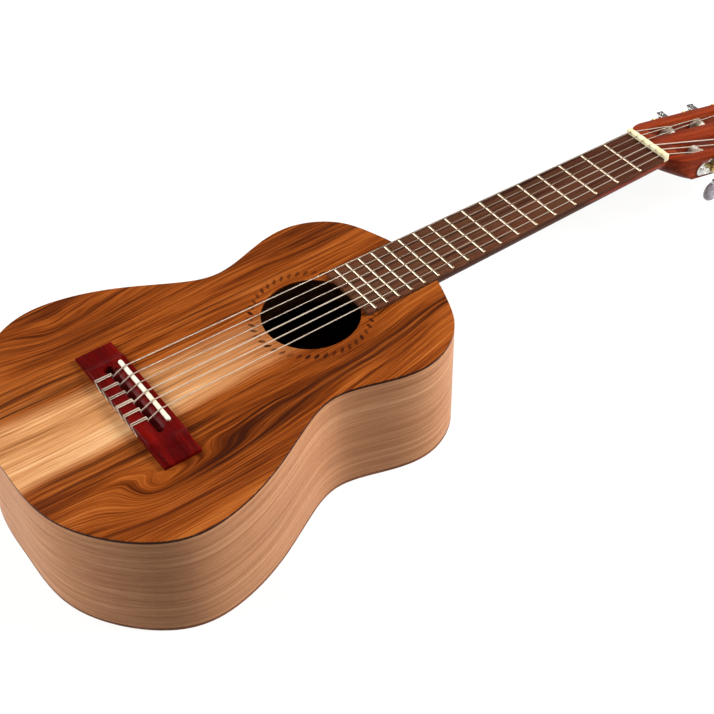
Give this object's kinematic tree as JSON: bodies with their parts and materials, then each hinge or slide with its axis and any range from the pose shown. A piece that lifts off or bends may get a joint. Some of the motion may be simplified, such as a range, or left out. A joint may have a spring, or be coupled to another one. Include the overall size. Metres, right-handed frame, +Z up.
{
  "type": "guitalele",
  "caption": "Small nylon-string guitar with a deep figure-eight body, slotted headstock, open-geared tuners that turn, and a tie-block bridge.",
  "frame": {"origin": "under the middle of the instrument's length and width, on the surface that its back lies on", "axes": "+X along the neck from the body to the head, +Y to the bass strings' side, +Z up out of the soundboard"},
  "size_m": [0.6939, 0.2332, 0.0995],
  "materials": {
    "top_wood": "gloss varnish",
    "ring": "gloss varnish",
    "body_wood": "gloss varnish",
    "inner_wood": "raw",
    "neck_wood": "satin varnish",
    "head_wood": "gloss varnish",
    "board_wood": "oiled",
    "bridge_wood": "gloss varnish",
    "bone": "polished",
    "fret_metal": "polished",
    "string_nylon": "smooth",
    "string_wound": "wound",
    "plate_metal": "nickel plated",
    "screw_metal": "nickel plated",
    "worm_metal": "nickel plated",
    "gear_brass": "plain",
    "roller_white": "moulded",
    "button_pearl": "pearl"
  },
  "bodies": {
    "instrument": {"soundboard": "top_wood", "rosette": "ring", "back": "body_wood", "bass_side": "body_wood", "treble_side": "body_wood", "neck_block": "inner_wood", "tail_block": "inner_wood", "top_linings": "inner_wood", "back_linings": "inner_wood", "cross_braces": "inner_wood", "fan_braces": "inner_wood", "bridge_plate": "inner_wood", "back_braces": "inner_wood", "back_strip": "inner_wood", "neck": "neck_wood", "headstock": "head_wood", "fingerboard": "board_wood", "frets": "fret_metal", "bridge": "bridge_wood", "saddle": "bone", "nut": "bone", "string_1": "string_nylon", "string_2": "string_nylon", "string_3": "string_nylon", "string_4": "string_wound", "string_5": "string_wound", "string_6": "string_wound", "bass_tuner_plate": "plate_metal", "treble_tuner_plate": "plate_metal", "plate_screws": "screw_metal"},
    "button_drive_1": {"button_1": "button_pearl", "worm_1": "worm_metal"},
    "roller_drive_1": {"gear_1": "gear_brass", "roller_1": "roller_white", "string_turns_1": "string_nylon"},
    "button_drive_2": {"button_2": "button_pearl", "worm_2": "worm_metal"},
    "roller_drive_2": {"gear_2": "gear_brass", "roller_2": "roller_white", "string_turns_2": "string_nylon"},
    "button_drive_3": {"button_3": "button_pearl", "worm_3": "worm_metal"},
    "roller_drive_3": {"gear_3": "gear_brass", "roller_3": "roller_white", "string_turns_3": "string_nylon"},
    "button_drive_4": {"button_4": "button_pearl", "worm_4": "worm_metal"},
    "roller_drive_4": {"gear_4": "gear_brass", "roller_4": "roller_white", "string_turns_4": "string_wound"},
    "button_drive_5": {"button_5": "button_pearl", "worm_5": "worm_metal"},
    "roller_drive_5": {"gear_5": "gear_brass", "roller_5": "roller_white", "string_turns_5": "string_wound"},
    "button_drive_6": {"button_6": "button_pearl", "worm_6": "worm_metal"},
    "roller_drive_6": {"gear_6": "gear_brass", "roller_6": "roller_white", "string_turns_6": "string_wound"}
  },
  "joints": [
    {"name": "button_turn_1", "type": "hinge", "parent": "instrument", "child": "button_drive_1", "pos_m": [0.24073, -0.0341, 0.07347], "axis": [0.2079, 0, 0.9781], "continuous": true},
    {"name": "roller_turn_1", "type": "hinge", "parent": "instrument", "child": "roller_drive_1", "pos_m": [0.23408, -0.0341, 0.07489], "axis": [0, 1, 0], "continuous": true},
    {"name": "button_turn_2", "type": "hinge", "parent": "instrument", "child": "button_drive_2", "pos_m": [0.27496, -0.0341, 0.0662], "axis": [0.2079, 0, 0.9781], "continuous": true},
    {"name": "roller_turn_2", "type": "hinge", "parent": "instrument", "child": "roller_drive_2", "pos_m": [0.26831, -0.0341, 0.06761], "axis": [0, 1, 0], "continuous": true},
    {"name": "button_turn_3", "type": "hinge", "parent": "instrument", "child": "button_drive_3", "pos_m": [0.3092, -0.0341, 0.05892], "axis": [0.2079, 0, 0.9781], "continuous": true},
    {"name": "roller_turn_3", "type": "hinge", "parent": "instrument", "child": "roller_drive_3", "pos_m": [0.30255, -0.0341, 0.06033], "axis": [0, 1, 0], "continuous": true},
    {"name": "button_turn_4", "type": "hinge", "parent": "instrument", "child": "button_drive_4", "pos_m": [0.3092, 0.0341, 0.05892], "axis": [0.2079, 0, 0.9781], "continuous": true},
    {"name": "roller_turn_4", "type": "hinge", "parent": "instrument", "child": "roller_drive_4", "pos_m": [0.30255, 0.0341, 0.06033], "axis": [0, 1, 0], "continuous": true},
    {"name": "button_turn_5", "type": "hinge", "parent": "instrument", "child": "button_drive_5", "pos_m": [0.27496, 0.0341, 0.0662], "axis": [0.2079, 0, 0.9781], "continuous": true},
    {"name": "roller_turn_5", "type": "hinge", "parent": "instrument", "child": "roller_drive_5", "pos_m": [0.26831, 0.0341, 0.06761], "axis": [0, 1, 0], "continuous": true},
    {"name": "button_turn_6", "type": "hinge", "parent": "instrument", "child": "button_drive_6", "pos_m": [0.24073, 0.0341, 0.07347], "axis": [0.2079, 0, 0.9781], "continuous": true},
    {"name": "roller_turn_6", "type": "hinge", "parent": "instrument", "child": "roller_drive_6", "pos_m": [0.23408, 0.0341, 0.07489], "axis": [0, 1, 0], "continuous": true}
  ],
  "couplings": [
    {"joint": "roller_turn_1", "follows": "button_turn_1", "ratio": 0.071429},
    {"joint": "roller_turn_2", "follows": "button_turn_2", "ratio": 0.071429},
    {"joint": "roller_turn_3", "follows": "button_turn_3", "ratio": 0.071429},
    {"joint": "roller_turn_4", "follows": "button_turn_4", "ratio": 0.071429},
    {"joint": "roller_turn_5", "follows": "button_turn_5", "ratio": 0.071429},
    {"joint": "roller_turn_6", "follows": "button_turn_6", "ratio": 0.071429}
  ]
}
